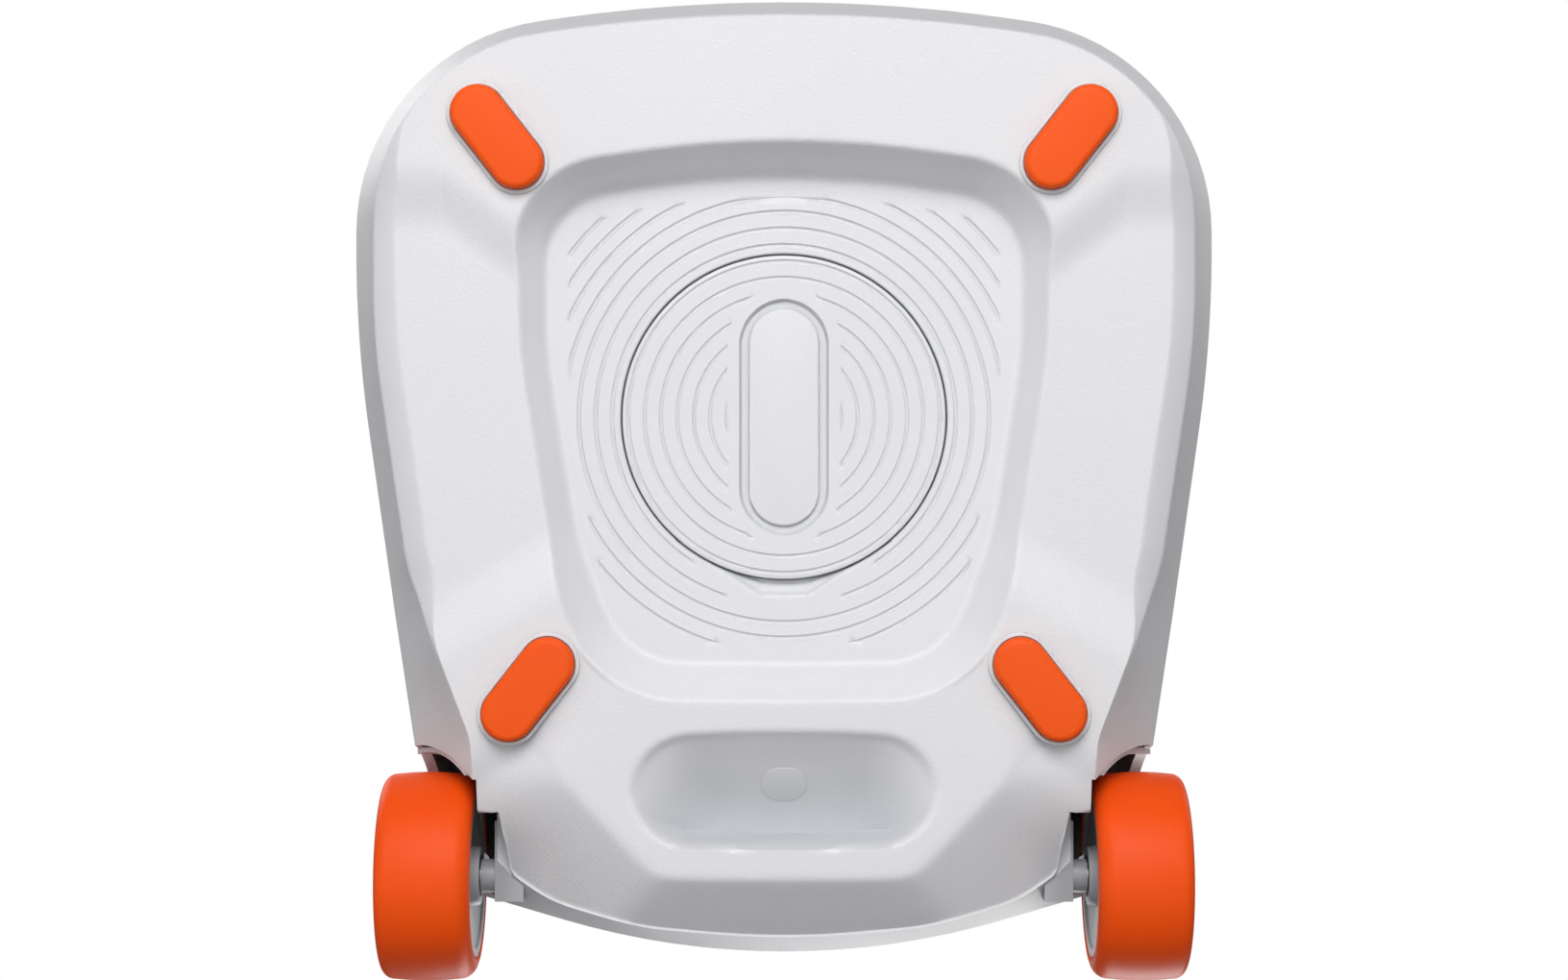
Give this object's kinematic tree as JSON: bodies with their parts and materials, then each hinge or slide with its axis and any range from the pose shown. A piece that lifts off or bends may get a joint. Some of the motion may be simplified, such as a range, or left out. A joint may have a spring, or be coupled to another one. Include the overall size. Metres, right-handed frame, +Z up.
{
  "type": "wheeled portable loudspeaker",
  "caption": "Tall wheeled battery loudspeaker: moulded base with rubber feet, trolley wheels, carry pocket and round battery cover; grille, top controls and pull-up handle.",
  "frame": {"origin": "middle of the footprint, on the floor plane under the four feet", "axes": "+Z up the cabinet, grille faces -Y, wheels at +Y, +X to the user's left when facing the grille"},
  "size_m": [0.333, 0.3797, 0.6701],
  "materials": {
    "shell_white": "fine grain",
    "cap_white": "satin",
    "cover_white": "fine grain",
    "orange_rubber": "matte",
    "orange_trim": "satin",
    "grey_plastic": "satin",
    "dark_plastic": "satin",
    "black_rubber": "matte",
    "grille_metal": "powder coat",
    "baffle_wood": "painted board",
    "cone_fibre": "matte",
    "basket_steel": "satin",
    "steel": "brushed",
    "tube_metal": "satin",
    "light_pipe": "milky",
    "board_green": "satin",
    "contact_metal": "plated"
  },
  "bodies": {
    "cabinet": {"base_tray": "shell_white", "cabinet_shell": "shell_white", "top_cap": "cap_white", "pocket_plug": "grey_plastic", "battery_bay": "grey_plastic", "battery_contacts": "contact_metal", "foot_front_left": "orange_rubber", "foot_front_right": "orange_rubber", "foot_rear_left": "orange_rubber", "foot_rear_right": "orange_rubber", "grille_frame": "orange_trim", "front_grille": "grille_metal", "front_baffle": "baffle_wood", "woofer_basket_lower": "basket_steel", "woofer_basket_upper": "basket_steel", "woofer_surrounds": "black_rubber", "light_rings": "light_pipe", "tweeter_left": "dark_plastic", "tweeter_right": "dark_plastic", "io_panel": "dark_plastic", "panel_screws": "steel", "rear_sockets": "dark_plastic", "power_inlet": "dark_plastic", "bass_port": "dark_plastic", "amplifier_board": "board_green", "power_supply": "grey_plastic", "control_deck": "dark_plastic", "control_board": "board_green", "handle_sleeves": "grey_plastic", "wheel_well_left": "shell_white", "wheel_well_right": "shell_white", "wheel_brackets": "grey_plastic", "wheel_axles": "steel", "axle_clips": "steel"},
    "wheel_left": {"tyre_left": "orange_rubber", "wheel_hub_left": "grey_plastic", "wheel_bush_left": "dark_plastic"},
    "wheel_right": {"tyre_right": "orange_rubber", "wheel_hub_right": "grey_plastic", "wheel_bush_right": "dark_plastic"},
    "cone_lower": {"woofer_cone_lower": "cone_fibre"},
    "cone_upper": {"woofer_cone_upper": "cone_fibre"},
    "battery_module": {"battery_cover": "cover_white", "battery_pack": "dark_plastic"},
    "port_flap": {"port_flap": "black_rubber"},
    "handle": {"handle_grip": "grey_plastic", "handle_tubes": "tube_metal"},
    "release_button": {"handle_button": "orange_trim", "push_link": "steel"},
    "lock_pin_left": {"lock_pin_left": "steel"},
    "lock_pin_right": {"lock_pin_right": "steel"},
    "volume_knob": {"volume_knob": "orange_trim"},
    "mic_gain_knob": {"mic_gain_knob": "grey_plastic"},
    "guitar_gain_knob": {"guitar_gain_knob": "grey_plastic"},
    "button_power": {"button_power": "orange_trim"},
    "button_bluetooth": {"button_bluetooth": "grey_plastic"},
    "button_play": {"button_play": "grey_plastic"},
    "button_bass": {"button_bass": "grey_plastic"},
    "button_light": {"button_light": "grey_plastic"}
  },
  "joints": [
    {"name": "wheel_left_spin", "type": "hinge", "parent": "cabinet", "child": "wheel_left", "pos_m": [-0.136, 0.15, 0.041], "axis": [1, 0, 0], "continuous": true},
    {"name": "wheel_right_spin", "type": "hinge", "parent": "cabinet", "child": "wheel_right", "pos_m": [0.136, 0.15, 0.041], "axis": [1, 0, 0], "continuous": true},
    {"name": "cone_lower_stroke", "type": "slide", "parent": "cabinet", "child": "cone_lower", "axis": [0, -1, 0], "range_m": [-0.004, 0.004], "stiffness_N_per_m": 2000},
    {"name": "cone_upper_stroke", "type": "slide", "parent": "cabinet", "child": "cone_upper", "axis": [0, -1, 0], "range_m": [-0.004, 0.004], "stiffness_N_per_m": 2000},
    {"name": "battery_lift_out", "type": "slide", "parent": "cabinet", "child": "battery_module", "axis": [0, 0, -1], "range_m": [0, 0.14]},
    {"name": "port_flap_hinge", "type": "hinge", "parent": "cabinet", "child": "port_flap", "pos_m": [0.0468, 0.1652, 0.368], "axis": [0, 0, -1], "range_deg": [0, 110]},
    {"name": "handle_extension", "type": "slide", "parent": "cabinet", "child": "handle", "axis": [0, 0, 1], "range_m": [0, 0.38]},
    {"name": "release_button_press", "type": "slide", "parent": "handle", "child": "release_button", "axis": [0, 0, -1], "range_m": [0, 0.003], "stiffness_N_per_m": 600},
    {"name": "lock_pin_left_retract", "type": "slide", "parent": "handle", "child": "lock_pin_left", "axis": [-1, 0, 0], "range_m": [0, 0.003]},
    {"name": "lock_pin_right_retract", "type": "slide", "parent": "handle", "child": "lock_pin_right", "axis": [1, 0, 0], "range_m": [0, 0.003]},
    {"name": "volume_turn", "type": "hinge", "parent": "cabinet", "child": "volume_knob", "pos_m": [0, -0.052, 0.645], "axis": [0, 0, -1], "range_deg": [-150, 150]},
    {"name": "mic_gain_turn", "type": "hinge", "parent": "cabinet", "child": "mic_gain_knob", "pos_m": [-0.072, -0.084, 0.645], "axis": [0, 0, -1], "range_deg": [-140, 140]},
    {"name": "guitar_gain_turn", "type": "hinge", "parent": "cabinet", "child": "guitar_gain_knob", "pos_m": [0.072, -0.084, 0.645], "axis": [0, 0, -1], "range_deg": [-140, 140]},
    {"name": "power_press", "type": "slide", "parent": "cabinet", "child": "button_power", "axis": [0, 0, -1], "range_m": [0, 0.0012], "stiffness_N_per_m": 300},
    {"name": "bluetooth_press", "type": "slide", "parent": "cabinet", "child": "button_bluetooth", "axis": [0, 0, -1], "range_m": [0, 0.0012], "stiffness_N_per_m": 300},
    {"name": "play_press", "type": "slide", "parent": "cabinet", "child": "button_play", "axis": [0, 0, -1], "range_m": [0, 0.0012], "stiffness_N_per_m": 300},
    {"name": "bass_press", "type": "slide", "parent": "cabinet", "child": "button_bass", "axis": [0, 0, -1], "range_m": [0, 0.0012], "stiffness_N_per_m": 300},
    {"name": "light_press", "type": "slide", "parent": "cabinet", "child": "button_light", "axis": [0, 0, -1], "range_m": [0, 0.0012], "stiffness_N_per_m": 300}
  ],
  "couplings": [
    {"joint": "lock_pin_left_retract", "follows": "release_button_press", "ratio": 1},
    {"joint": "lock_pin_right_retract", "follows": "release_button_press", "ratio": 1}
  ]
}
